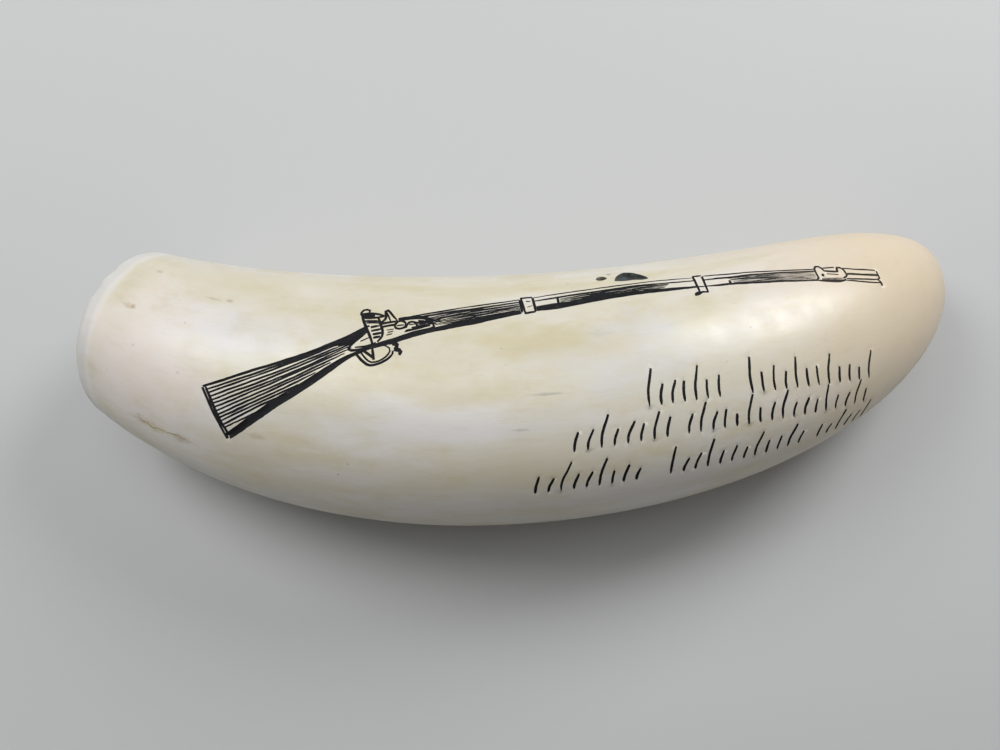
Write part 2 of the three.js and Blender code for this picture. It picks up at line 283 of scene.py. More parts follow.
# the flint lock on its leaf-shaped plate, with the guard and trigger below
lockLines = {
    "hair": [
        [(23.4, 0.55), (24.4, 0.6)],
        [(23.6, 0.95), (24.4, 0.95)],
        [(23.5, 1.35), (24.3, 1.3)],
        [(26.1, 1.2), (27.9, 1.1), (29.4, 1)],
        [(27.7, 0.75), (29.1, 0.7)],
        [(27.2, 0.1), (28.9, 0.5)],
        [(26.5, 0.35), (27.3, 0.45)],
        [(20, 1.5), (21.1, 1.2)],
    ],
    "fine": [
        [(19.4, 2.25), (21, 2.41), (22.2, 2.15)],
        [(24.7, 0.15), (25.8, 0.27)],
        [(26, 1.45), (28, 1.35), (29.6, 1.2)],
        [(27.6, 0.35), (29.3, 0.7)],
        [(26.9, 0.95), (28.4, 0.95), (29.7, 0.9)],
        [(28, 0.1), (29.4, 0.45), (30.4, 1.1)],
        [(28.6, -0.25), (29.8, 0.2), (30.9, 0.4)],
        [(28.9, 0.1), (30, 0.5), (31, 0.85)],
        [(20.2, -1.45), (22.1, -0.95)],
        [(22.7, -2.9), (23.2, -1.86), (23.7, -0.8)],
        [(20.5, 3.3), (21.2, 4.25), (22.1, 5), (23.2, 5), (24, 4.6), (24.4, 4), (24.1, 3.3), (23.3, 2.8)],
    ],
    "plain": [
        [(19.2, -3.3), (19.6, -2.1), (20.4, -0.6), (21, 0.5), (21.5, 1.6), (21.8, 2.4)],
        [(20.7, 0.12), (20.1, 0.7), (19.3, 1.25), (18.5, 2.1), (19, 2.57), (19.8, 2.68), (20.8, 2.75),
         (22.4, 2.55), (24.3, 2.3), (26, 2.02), (28.2, 1.78), (29.6, 1.65), (30.2, 1.4)],
        [(21.8, -1.9), (22.4, -0.65), (22.9, 0.6), (22.9, 1.5), (22.4, 2.1)],
        [(21, -0.42), (22.2, -0.45)],
        [(21.2, 0.2), (22.6, 0.2)],
        [(21.5, 0.8), (22.8, 0.85)],
        [(21.7, 1.4), (22.7, 1.4)],
        [(19.1, -3.1), (19.1, -3.8), (19.6, -4), (20.2, -3.75), (20.2, -3.2)],
        [(19.1, -3.18), (20.4, -3.1), (21.6, -2.65), (22.6, -2.05)],
        [(22.6, -2.05), (21.5, -2.05), (20.2, -2.25), (19.5, -2.6)],
        [(19.9, -1.8), (20.7, -1.65), (21.9, -1.3)],
        [(22.2, -0.85), (22.9, -1.6), (22.6, -2.95), (22.9, -3.15), (23.8, -2), (24.7, -0.8)],
        [(22.1, -0.74), (23.3, -0.7), (24.6, -0.69)],
        [(22.7, -0.09), (24.4, -0.09)],
        [(24.4, 0.1), (24.8, -0.6), (25.5, -0.5), (26, 0)],
        [(26, 0), (26, 0.6), (25.2, 0.78), (24.6, 0.5), (24.4, 0.1)],
        [(26.1, 0.7), (26.3, 0.07), (26.9, -0.09), (27.5, 0.35), (27.7, 0.9)],
        [(27.7, -0.05), (28.9, 0.38), (29.9, 1.05), (30.2, 1.5)],
        [(20.8, 3.1), (21.6, 3.85), (22.35, 4.65)],
        [(22.35, 4.65), (21.9, 3)],
        [(19.9, 3.4), (20.8, 4.5), (21.9, 5.42), (23.2, 5.47), (24.1, 5.1), (24.7, 4.5), (24.7, 3.9)],
    ],
    "heavy": [
        [(19.5, -2.8), (21.2, -2.35)],
        [(17.4, 0.75), (19.2, 0.35), (20.4, -0.3)],
        [(17, 1.35), (18.7, 1.1), (20.1, 0.3)],
        [(24.8, -0.9), (26.6, -0.8), (28.4, -0.45), (29.6, 0.15)],
        [(24.5, 3), (25.1, 2.95), (25.25, 3.7)],
        [(24.8, 3.75), (25.8, 4.2), (25.75, 4.8)],
    ],
}


# the barrel and its stock between the bands: lines along it, hatches between two guide paths
# and the black lower edge
barrelStretches = [
    {
        "sight": [(24.8, -1.05), (29.9, -1.1), (36.4, -1.12), (42.8, -1.2)],
        "second": [(26.5, -0.6), (31.4, -0.66), (37.3, -0.6), (42.7, -0.65)],
        "hatch": ([(28.2, -0.35), (34.4, -0.42), (38.9, -0.35), (42.8, -0.35)],
                  [(30.6, 1.45), (34.4, 1.33), (38.9, 1.13), (42.8, 0.85)]),
        "hatches": 7,
        "hatchWidth": 0.22,
        "under": [(21, 2.95), (23, 2.75), (25.5, 2.5), (28.2, 2.2), (30.5, 2), (34.4, 1.82), (38.9, 1.57),
                  (42.8, 1.28)],
        "underWidths": [0.7, 0.65, 0.65, 0.8, 1.1, 1.2, 1.15, 1.2],
    },
    {
        "sight": [(45, -1.25), (50.7, -1.5), (55.6, -1.65), (62.1, -1.9), (66.9, -1.85), (70.5, -1.75)],
        "second": [(45, -0.45), (48.6, -0.6), (52.1, -0.78), (58.7, -1.15), (61.9, -1.25), (66.6, -1.1),
                   (70.4, -0.98)],
        "hatch": ([(48.9, -0.4), (53.4, -0.6), (58.2, -0.95), (61.5, -1.05), (66.5, -0.9)],
                  [(48.9, 0.75), (53.4, 0.5), (58.2, 0.15), (61.5, -0.05), (65.2, 0.0)]),
        "hatches": 6,
        "hatchWidth": 0.21,
        "under": [(45.2, 1.15), (48.7, 1.1), (53.4, 0.9), (58.2, 0.5), (61.4, 0.36), (66, 0.38),
                  (70.3, 0.35)],
        "underWidths": [1.9, 1.3, 1.0, 0.95, 0.95, 0.85, 0.62],
    },
    {
        "sight": [(72.2, -1.95), (76, -1.9), (81.2, -1.85), (89.9, -1.72)],
        "second": [(71.9, -1), (76.1, -1.12), (81, -1.3), (89.6, -1.25)],
        "hatch": ([(75.9, -0.95), (79.1, -1.1), (84.2, -1.1), (89.4, -1.05)],
                  [(76.2, 0.15), (79.1, 0.2), (83.4, 0.28), (88.9, 0.45)]),
        "hatches": 7,
        "hatchWidth": 0.15,
        "under": [(71.6, 0.42), (75.3, 0.38), (79, 0.38), (83.7, 0.45), (88.9, 0.6)],
        "underWidths": [0.5, 0.48, 0.48, 0.48, 0.4],
    },
]

fittingLines = {
    "hair": [
        [(89.8, 0.25), (92.9, 0.3)],
        [(91.1, -0.56), (92.8, -0.35)],
        [(43.7, -0.7), (44.4, -0.5)],
        [(43.8, 0.6), (44.6, 0.4)],
        [(89.6, 0.5), (93, 0.6)],
    ],
    "fine": [
        [(70.4, 0.4), (71.5, 0.4)],
        [(91.4, -1.85), (93.3, -1.9)],
        [(94.3, -1.65), (99.2, -1.1)],
        [(93.5, 0.42), (98.4, 0.66)],
        [(93.2, 0.7), (98.2, 1.32)],
        [(99.2, -1.05), (98.8, -0.15), (98.8, 0.25), (98.2, 0.64)],
    ],
    "plain": [
        [(43, -1.45), (43.4, 1.65)],
        [(42.75, -1.2), (43, 1.3)],
        [(44.75, -1.4), (44.95, 1.6)],
        [(42.9, -1.5), (44.8, -1.42)],
        [(43.3, 1.7), (44.9, 1.65)],
        [(48.6, -0.75), (48.6, 0.75)],
        [(70.7, -2.04), (70.2, 1.5)],
        [(72.1, -2.04), (71.4, 1.6)],
        [(70.7, -2.04), (72.1, -2.04)],
        [(70.2, 1.5), (71.4, 1.6)],
        [(75.75, -0.6), (75.6, 0.3)],
        [(89.8, -1.39), (90.2, -2.05), (90.8, -2.3), (91.15, -1.95), (91.1, -1.34), (91.7, -1.15),
         (93.1, -1.04), (93.4, -1.75), (94, -1.85), (94.3, -1.44), (94.1, -0.59), (93.9, -0.1), (93.1, 0.3)],
        [(89.8, -1.39), (89.5, -0.65), (89.3, 0.06), (88.9, 0.58), (90.6, 0.76), (92.1, 0.9), (93.4, 0.5)],
        [(94.2, -0.52), (98.7, -0.13)],
        [(98.2, 0.64), (98.3, 1.1), (98.1, 1.75)],
    ],
    "heavy": [
        [(90.2, -0.36), (90.6, -0.34)],
        [(70.3, 1.5), (69.3, 1.95)],
    ],
}


def barrelStrokes(stretches, fittings):
    widths, strokes = pictureSizes["lineWidths"], []
    for stretch in stretches:
        strokes.append(needleStroke(stretch["sight"], widths["fine"], "sight"))
        strokes.append(needleStroke(stretch["second"], widths["plain"], "second"))
        strokes += shadeLines(*stretch["hatch"], stretch["hatches"], stretch["hatchWidth"])
        strokes.append(needleStroke(stretch["under"], stretch["underWidths"], "under"))
    return strokes + drawLines(fittings, "fitting")


# three rows of slanted pen marks, in groups; each row's level is a bend through three drops
markSizes = {
    "rows": [
        {"groups": [(58, 67.4), (71.9, 89.4)], "drops": (14.9, 14.6, 14.1), "height": 4.9},
        {"groups": [(48, 59.8), (62.6, 88.4)], "drops": (19.9, 19.5, 18.6), "height": 4.5},
        {"groups": [(43, 55.6), (60, 78), (81, 89)], "drops": (25.9, 26.7, 23.1), "height": 4.6},
    ],
    "spacing": 1.6,
    "slant": 1.1,
    "width": 0.42,
    "heights": (1, 0.55, 0.62, 0.5, 0.95, 0.55, 0.6),
    "heightJitter": 0.06,
    "slantJitter": 0.3,
    "waist": (0.2, 0.45),
}


def markStrokes(sizes):
    strokes = []
    for row in sizes["rows"]:
        first, last = row["groups"][0][0], row["groups"][-1][1]
        start, middle, end = row["drops"]
        for left, right in row["groups"]:
            count = round((right - left) / sizes["spacing"])
            for mark in range(count + 1):
                along = mix(left, right, mark / count)
                share = (along - first) / (last - first)
                level = mix(mix(start, middle, share), mix(middle, end, share), share)
                part = sizes["heights"][len(strokes) % len(sizes["heights"])]
                part = part * (1 + sizes["heightJitter"] * dice.normal())
                lean = sizes["slant"] * part * (1 + sizes["slantJitter"] * dice.normal())
                size, foot = row["height"] * part, level + row["height"] / 2
                waist = (along + lean * sizes["waist"][0], foot - size * sizes["waist"][1])
                path = [(along, foot), waist, (along + lean, foot - size)]
                strokes.append(needleStroke(path, sizes["width"], "mark"))
    return strokes


# two old pits beside the barrel, each by its outline in picture units
pitSizes = {
    "outlines": [
        [(55.6, -4.2), (56.1, -4.95), (57.1, -4.95), (57.5, -4.3), (56.8, -3.75), (56, -3.75)],
        [(58.4, -3.1), (58.9, -4.2), (59.9, -5.25), (61, -5.7), (62.4, -5.0), (63.9, -3.1), (63, -2.65),
         (61.6, -2.85), (59.9, -2.8)],
    ],
    "spacing": 0.35,
    "rings": 5,
}


def pitShape(outline, sizes):
    outline = smoothPath(onTooth(outline + outline[:1]), sizes["spacing"])[:-1]
    middle = (outline.min(0) + outline.max(0)) / 2
    inner = [middle[None]]
    for ring in range(1, sizes["rings"]):
        inner.append(middle + (outline[ring % 2::2] - middle) * ring / sizes["rings"])
    return {"middle": middle, "half": np.ptp(outline, axis=0) / 2, "outline": outline,
            "inner": np.vstack(inner), "finish": "pit"}


# a hairline crack near the root: distance from the sawn end and girth from the crest
crackSizes = {
    "path": [(15, 18.8), (15.7, 19.4), (17.1, 19.8), (17.7, 20.4), (18.7, 20.2), (20.3, 20.3), (21.6, 20.4),
             (22.6, 20.5), (23.8, 20.9)],
    "widths": [0.1, 0.2, 0.15, 0.26, 0.12, 0.1, 0.14, 0.3, 0.2],
    "wobble": 0.08,
}


def crackStroke(sizes):
    line = smoothPath(sizes["path"], pictureSizes["strokeStep"])
    line = line + sizes["wobble"] * np.stack([handNoise(len(line), 1), handNoise(len(line), 1)], 1)
    return penned(line, sizes["widths"], "crack", "crack")


# two shallow nicks in the worn rim: distance from the sawn end, girth from the crest, half sizes, and
# where on the sawn face they start, as a share of the way out from its middle
rimNicks = {
    "places": [(1.2, -3.6), (1.0, 0.6)],
    "half": (2.4, 1.7),
    "share": 0.5,
    "edge": (0.8, 0.95),
}


def nickShares(rows, sizes):
    distances, _, insets, _, girths = rows.T
    along, across = sizes["half"]
    shares = np.zeros(len(rows))
    for distance, girth in sizes["places"]:
        fall = ((distances - distance) / along) ** 2 + ((girths - girth) / across) ** 2
        shares = np.maximum(shares, sizes["share"] * np.clip(1 - fall, 0, 1))
    return shares * np.interp(insets, sizes["edge"], (0, 1))


finishes = ["ivory", "ink", "pit", "crack"]


# rings from the bottom of the root cavity, over the sawn face and the rim, to the tip
def ringList():
    grid, breadth = skinGrid, toothSizes["cavityBreadth"] / 2
    deep = toothSizes["cavityDepth"]
    rings = []
    for ring in range(grid["cavityRings"]):
        depth = deep * (1 - (ring + 1) / grid["cavityRings"])
        inset = breadth * (1 - depth / deep) / float(halfBreadth(depth))
        rings.append((depth, inset, -(float(halfBreadth(0)) - breadth) - depth))
    mouth = rings[-1][1]
    for ring in range(1, grid["faceRings"]):
        inset = mix(mouth, 1, ring / grid["faceRings"])
        rings.append((0.0, inset, -float(halfBreadth(0)) * (1 - inset)))
    rim, (panelStart, panelEnd) = toothSizes["rimRounding"], grid["panel"]
    distances = [rim * (ring / grid["rimRings"]) ** grid["rimCrowding"] for ring in range(grid["rimRings"])]
    distances += [rim, rim + grid["pastRim"]]
    distances += list(np.linspace(rim, panelStart, round((panelStart - rim) / grid["rootCell"]) + 1)[1:-1])
    panelFirst = len(rings) + len(distances)
    panelCells = round((panelEnd - panelStart) / grid["cell"])
    distances += list(np.linspace(panelStart, panelEnd, panelCells + 1))
    panelLast = panelFirst + panelCells
    left = 1 - np.arange(1, grid["tipRings"] + 1) / (grid["tipRings"] + 1)
    distances += list(spineLength - (spineLength - panelEnd) * left ** grid["tipCrowding"])
    rings += [(distance, 1.0, distance) for distance in distances]
    return rings, panelFirst, panelLast


# the panel under the picture: the grid's corners and every outline, joined without a gap
def panelMesh(corners, interior, strokes, pits):
    def flatten(points):
        return np.stack([points[:, 0], points[:, 1] * flatRadius / girthRadius(points[:, 0])], 1)

    coords = [corners]
    edges = [(k, (k + 1) % len(corners)) for k in range(len(corners))]
    faces, owners, total = [], [], len(corners)
    for shape in strokes + pits:
        outline = flatten(shape["outline"])
        coords.append(outline)
        faces.append(list(range(total, total + len(outline))))
        owners.append(finishes.index(shape["finish"]))
        total += len(outline)
        middle = flatten(shape["line"] if "line" in shape else shape["inner"])
        coords.append(middle)
        if "line" in shape:
            edges += [(total + k, total + k + 1) for k in range(len(middle) - 1)]
        total += len(middle)
    keep = np.ones(len(interior), bool)
    for shape in strokes + pits:
        outline = flatten(shape["outline"])
        reach = skinGrid["clearOfStrokes"]
        low, high = outline.min(0) - reach, outline.max(0) + reach
        near = np.where(((interior > low) & (interior < high)).all(1))[0]
        centre = flatten(shape["line"]) if "line" in shape else outline
        wide = shape["half"].max() if "line" in shape else shape["half"][1]
        gaps = np.linalg.norm(interior[near][:, None] - centre[None], axis=2).min(1)
        keep[near[gaps < wide + reach]] = False
    coords.append(interior[keep])
    points = [Vector((float(x), float(y))) for x, y in np.vstack(coords)]
    joined = delaunay_2d_cdt(points, edges, faces, 0, skinGrid["joinWithin"], True)
    found, _, triangles, foundFrom, _, triangleFrom = joined
    flat = np.array([tuple(p) for p in found])
    placed = np.stack([flat[:, 0], flat[:, 1] * girthRadius(flat[:, 0]) / flatRadius], 1)
    kinds = [max((owners[k] for k in ids), default=0) for ids in triangleFrom]
    return placed, triangles, kinds, [min(ids, default=-1) for ids in foundFrom]


def segmentGaps(points, line, half):
    start, step = line[:-1], np.diff(line, axis=0)
    offset = points[:, None] - start[None]
    share = np.clip((offset * step).sum(2) / (step ** 2).sum(1), 0, 1)
    gaps = np.linalg.norm(offset - share[..., None] * step, axis=2)
    nearest = gaps.argmin(1)
    row = np.arange(len(points))
    return gaps[row, nearest], mix(half[nearest], half[nearest + 1], share[row, nearest])


def cutShares(placed, strokes, pits):
    cut, dent = np.zeros(len(placed)), np.zeros(len(placed))
    for stroke in strokes:
        low, high = stroke["outline"].min(0), stroke["outline"].max(0)
        near = np.where(((placed >= low) & (placed <= high)).all(1))[0]
        if len(near) == 0:
            continue
        gaps, half = segmentGaps(placed[near], stroke["line"], stroke["half"])
        full = math.sqrt(stroke["width"] / pictureSizes["lineWidths"]["plain"])
        cut[near] = np.maximum(cut[near], full * np.clip(1 - gaps / half, 0, 1))
    for pit in pits:
        rim, offset = pit["outline"] - pit["middle"], placed - pit["middle"]
        turns, reach = np.arctan2(rim[:, 1], rim[:, 0]), np.linalg.norm(rim, axis=1)
        edge = np.interp(np.arctan2(offset[:, 1], offset[:, 0]), np.sort(turns), reach[np.argsort(turns)],
                         period=2 * math.pi)
        dent = np.maximum(dent, np.clip(1 - (np.linalg.norm(offset, axis=1) / edge) ** 2, 0, 1))
    return cut, dent


# the whole skin laid out flat, one row for each point: distance from the sawn end, angle round the section,
# share of the way out from its middle, and where it lies on the map, as run and girth
def skinMesh(strokes, pits):
    around = skinGrid["around"]
    angles = np.linspace(-crest, 3 * crest, around + 1)
    rings, panelFirst, panelLast = ringList()
    lowSide = int(np.searchsorted(angles, crest + skinGrid["panelArc"][0]))
    highSide = int(np.searchsorted(angles, crest + skinGrid["panelArc"][1]))

    def inPanel(ring, side):
        return panelFirst < ring < panelLast and lowSide < side < highSide

    rows, index = [], {}
    for ring, (distance, inset, run) in enumerate(rings):
        radius = float(girthRadius(distance))
        for side in range(around):
            if not inPanel(ring, side):
                index[ring, side] = len(rows)
                rows.append((distance, angles[side], inset, run, (angles[side] - crest) * radius))
    loop = [(ring, lowSide) for ring in range(panelFirst, panelLast)]
    loop += [(panelLast, side) for side in range(lowSide, highSide)]
    loop += [(ring, highSide) for ring in range(panelLast, panelFirst, -1)]
    loop += [(panelFirst, side) for side in range(highSide, lowSide, -1)]

    def laidFlat(pairs):
        return np.array([(rings[ring][0], (angles[side] - crest) * flatRadius) for ring, side in pairs])

    corners = laidFlat(loop)
    interior = laidFlat(product(range(panelFirst + 1, panelLast), range(lowSide + 1, highSide)))
    placed, triangles, kinds, sources = panelMesh(corners, interior, strokes, pits)
    cut, dent = cutShares(placed, strokes, pits)
    cuts, dents = [0.0] * len(rows), [0.0] * len(rows)
    known = []
    for number, (distance, girth) in enumerate(placed):
        if 0 <= sources[number] < len(loop):
            known.append(index[loop[sources[number]]])
            continue
        known.append(len(rows))
        rows.append((distance, crest + girth / float(girthRadius(distance)), 1.0, distance, girth))
        cuts.append(cut[number])
        dents.append(dent[number])
    faces, finish, seam = [], [], []
    for triangle, kind in zip(triangles, kinds):
        faces.append([known[k] for k in reversed(triangle)])
        finish.append(kind)
        seam.append(False)
    for ring in range(len(rings) - 1):
        for side in range(around):
            if panelFirst <= ring < panelLast and lowSide <= side < highSide:
                continue
            after, beyond = (side + 1) % around, ring + 1
            faces.append([index[ring, side], index[ring, after], index[beyond, after], index[beyond, side]])
            finish.append(0)
            seam.append(after == 0)
    last = len(rings) - 1
    bottom, tip = len(rows), len(rows) + 1
    deep = toothSizes["cavityDepth"]
    rows.append((deep, crest, 0.0, rings[0][2] - deep / skinGrid["cavityRings"], 0.0))
    rows.append((spineLength, crest, 1.0, spineLength, 0.0))
    cuts += [0.0, 0.0]
    dents += [0.0, 0.0]
    for side in range(around):
        after = (side + 1) % around
        faces.append([bottom, index[0, after], index[0, side]])
        faces.append([index[last, side], index[last, after], tip])
        finish += [0, 0]
        seam += [after == 0] * 2
    rows = np.array(rows)
    dents = np.maximum(dents, nickShares(rows, rimNicks))
    return rows, np.array(cuts), dents, faces, finish, seam


# that mesh with its attributes, its map in millimetres, and sharp edges where the finish changes; unbent is
# each point's place on the tooth as if it were straight, which gives the materials coordinates without a seam
def buildSkin(strokes, pits):
    rows, cuts, dents, faces, finish, seam = skinMesh(strokes, pits)
    mesh = bpy.data.meshes.new("tooth_skin")
    distances, angles, insets, runs, girths = rows.T
    mesh.from_pydata([(run * mm, girth * mm, 0) for run, girth in zip(runs, girths)], [], faces)
    columns = {"along": distances / spineLength, "angle": angles, "inset": insets, "cut": cuts, "dent": dents}
    for name, values in columns.items():
        mesh.attributes.new(name, "FLOAT", "POINT").data.foreach_set("value", values.astype(np.float32))
    radius = girthRadius(distances) * insets
    straight = np.stack([runs, radius * np.cos(angles), radius * np.sin(angles)], 1)
    unbent = mesh.attributes.new("unbent", "FLOAT_VECTOR", "POINT")
    unbent.data.foreach_set("vector", straight.astype(np.float32).ravel())
    mesh.attributes.new("finish", "INT", "FACE").data.foreach_set("value", np.array(finish, np.int32))
    loopVerts = np.zeros(len(mesh.loops), np.int32)
    loopEdges = np.zeros(len(mesh.loops), np.int32)
    mesh.loops.foreach_get("vertex_index", loopVerts)
    mesh.loops.foreach_get("edge_index", loopEdges)
    counts = [len(face) for face in faces]
    loopSeam, loopFinish = np.repeat(seam, counts), np.repeat(finish, counts)
    across = girths[loopVerts]
    across[loopSeam & (across < 0)] *= -1
    uv = np.stack([runs[loopVerts], across], 1) / uvSpan
    mesh.uv_layers.new(name="skin").data.foreach_set("uv", uv.ravel().astype(np.float32))
    lowest, highest = np.full(len(mesh.edges), len(finishes)), np.full(len(mesh.edges), -1)
    np.minimum.at(lowest, loopEdges, loopFinish)
    np.maximum.at(highest, loopEdges, loopFinish)
    sharp = mesh.attributes.new("sharp_edge", "BOOLEAN", "EDGE")
    sharp.data.foreach_set("value", lowest != highest)
    mesh.update()
    skin = bpy.data.objects.new("tooth_skin", mesh)
    bpy.context.scene.collection.objects.link(skin)
    return skin


# node helpers, for shader and geometry trees alike; new nodes are laid out in rows
def addNode(tree, kind, inputs=None, **settings):
    node = tree.nodes.new(kind)
    node.location = (len(tree.nodes) % 12 * 190, -(len(tree.nodes) // 12) * 260)
    for key, value in settings.items():
        setattr(node, key, value)
    for key, value in (inputs or {}).items():
        if isinstance(value, bpy.types.NodeSocket):
            tree.links.new(value, node.inputs[key])
        else:
            node.inputs[key].default_value = value
    return node


def maths(tree, operation, first, second=0.0):
    return addNode(tree, "ShaderNodeMath", {0: first, 1: second}, operation=operation).outputs[0]


def vectors(tree, operation, first, second=(0, 0, 0)):
    return addNode(tree, "ShaderNodeVectorMath", {0: first, 1: second}, operation=operation).outputs[0]


def scaled(tree, vector, factor):
    return addNode(tree, "ShaderNodeVectorMath", {0: vector, "Scale": factor}, operation="SCALE").outputs[0]


def vectorOf(tree, axes):
    return addNode(tree, "ShaderNodeCombineXYZ", axes).outputs[0]


def named(tree, name, kind="FLOAT"):
    node = addNode(tree, "GeometryNodeInputNamedAttribute", {"Name": name}, data_type=kind)
    return node.outputs["Attribute"]


surfaceRelief = {
    "cutDepth": 0.24,
    "pitDepth": 0.45,
    "polishWaver": 0.07,
    "waverSize": 9.0,
    "waverStretch": 3.0,
}


# what the wrapping tree is given: name, kind of socket and value
def wrapInputs(materials):
    (rootAlong, rootOut), (tipAlong, tipOut) = toothSizes["rootHandle"], toothSizes["tipHandle"]
    chord, (low, high) = toothSizes["chord"] * mm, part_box("tooth")
    given = {**toothSizes, **surfaceRelief}
    inputs = [
        ("Root Handle", "Vector", (rootAlong * chord, -rootOut * chord, 0)),
        ("Tip Handle", "Vector", (tipAlong * chord, -tipOut * chord, 0)),
        ("Low Corner", "Vector", tuple(low)),
        ("High Corner", "Vector", tuple(high)),
        ("Half Belly", "Float", toothSizes["bellyBreadth"] / 2 * mm),
        ("Half Sawn End", "Float", toothSizes["sawnBreadth"] / 2 * mm),
        ("Saw Lean", "Float", math.tan(math.radians(toothSizes["sawLean"]))),
        ("Saw Turn", "Float", math.tan(math.radians(toothSizes["sawTurn"]))),
        ("Roll", "Float", -math.radians(toothSizes["restRoll"])),
        ("Tilt", "Float", math.radians(toothSizes["restTilt"])),
    ]
    for key in ("chord", "rimRounding", "flatDepth", "cutDepth", "pitDepth", "polishWaver", "waverSize"):
        inputs.append((titled(key), "Float", given[key] * mm))
    for key in ("thicknessShare", "bellyPlace", "rootFlare", "crownTaper", "tipBluntness", "sawReach",
                "rimEdge", "waverStretch"):
        inputs.append((titled(key), "Float", given[key]))
    return inputs + [(titled(finish), "Material", materials[finish]) for finish in finishes]


def titled(key):
    return "".join(" " + letter if letter.isupper() else letter for letter in key).title()


# half the breadth at a share of the way to the tip, as halfBreadth above has it
def breadthNodes(tree, sizes, share, length):
    place = sizes["Belly Place"]
    beyond = maths(tree, "DIVIDE", maths(tree, "SUBTRACT", share, place), maths(tree, "SUBTRACT", 1.0, place))
    crownShare = maths(tree, "MINIMUM", maths(tree, "MAXIMUM", beyond, 0.0), 1.0)
    before = maths(tree, "DIVIDE", maths(tree, "SUBTRACT", place, share), place)
    rootShare = maths(tree, "MAXIMUM", before, 0.0)
    fullness = maths(tree, "SUBTRACT", 1.0, maths(tree, "POWER", crownShare, sizes["Crown Taper"]))
    rounded = maths(tree, "POWER", maths(tree, "MAXIMUM", fullness, 0.0),
                    maths(tree, "DIVIDE", 1.0, sizes["Tip Bluntness"]))
    crown = maths(tree, "MULTIPLY", sizes["Half Belly"], rounded)
    narrowing = maths(tree, "SUBTRACT", sizes["Half Belly"], sizes["Half Sawn End"])
    rootLoss = maths(tree, "MULTIPLY", narrowing, maths(tree, "POWER", rootShare, sizes["Root Flare"]))
    rimRun = maths(tree, "DIVIDE", maths(tree, "MULTIPLY", share, length), sizes["Rim Rounding"])
    rimLeft = maths(tree, "SUBTRACT", 1.0, maths(tree, "MINIMUM", rimRun, 1.0))
    rimLoss = maths(tree, "MULTIPLY", sizes["Rim Rounding"], maths(tree, "POWER", rimLeft, sizes["Rim Edge"]))
    return maths(tree, "SUBTRACT", maths(tree, "SUBTRACT", crown, rootLoss), rimLoss)


# rolls the flat skin up along the spine: where each of its points goes
def wrapNodes(tree, sizes):
    share, angle, inset = named(tree, "along"), named(tree, "angle"), named(tree, "inset")
    end = vectorOf(tree, {"X": sizes["Chord"]})
    spine = addNode(tree, "GeometryNodeCurvePrimitiveBezierSegment", {
        "Resolution": skinGrid["spineSteps"], "Start": (0, 0, 0), "Start Handle": sizes["Root Handle"],
        "End Handle": sizes["Tip Handle"], "End": end}).outputs[0]
    length = addNode(tree, "GeometryNodeCurveLength", {0: spine}).outputs[0]
    sample = addNode(tree, "GeometryNodeSampleCurve", {"Curves": spine, "Factor": share}, mode="FACTOR")
    ahead = vectors(tree, "NORMALIZE", sample.outputs["Tangent"])
    split = addNode(tree, "ShaderNodeSeparateXYZ", {0: ahead})
    back = maths(tree, "MULTIPLY", split.outputs["Y"], -1.0)
    across = vectorOf(tree, {"X": back, "Y": split.outputs["X"]})
    half = maths(tree, "MULTIPLY", breadthNodes(tree, sizes, share, length), inset)
    breadth = maths(tree, "MULTIPLY", half, maths(tree, "COSINE", angle))
    rise = maths(tree, "MULTIPLY", maths(tree, "MULTIPLY", half, sizes["Thickness Share"]),
                 maths(tree, "SINE", angle))
    nearSaw = maths(tree, "SUBTRACT", 1.0, maths(tree, "DIVIDE", share, sizes["Saw Reach"]))
    nearSaw = maths(tree, "POWER", maths(tree, "MAXIMUM", nearSaw, 0.0), 2.0)
    turned = maths(tree, "MULTIPLY", breadth, sizes["Saw Turn"])
    leant = maths(tree, "MULTIPLY", rise, sizes["Saw Lean"])
    slant = maths(tree, "MULTIPLY", nearSaw, maths(tree, "SUBTRACT", turned, leant))
    side = vectors(tree, "ADD", scaled(tree, across, breadth), scaled(tree, ahead, slant))
    up = vectorOf(tree, {"Z": rise})
    return vectors(tree, "ADD", sample.outputs["Position"], vectors(tree, "ADD", side, up))


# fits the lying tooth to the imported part's box, whose underside is worn flat
def fitNodes(tree, sizes, shape):
    box = addNode(tree, "GeometryNodeBoundBox", {0: shape})
    low = vectors(tree, "ADD", box.outputs["Min"], vectorOf(tree, {"Z": sizes["Flat Depth"]}))
    wanted = vectors(tree, "SUBTRACT", sizes["High Corner"], sizes["Low Corner"])
    grown = vectors(tree, "DIVIDE", wanted, vectors(tree, "SUBTRACT", box.outputs["Max"], low))
    here = addNode(tree, "GeometryNodeInputPosition").outputs[0]
    moved = vectors(tree, "MULTIPLY", vectors(tree, "SUBTRACT", here, low), grown)
    return vectors(tree, "ADD", moved, sizes["Low Corner"])


def movedTo(tree, shape, key, where):
    return addNode(tree, "GeometryNodeSetPosition", {0: shape, key: where}).outputs[0]


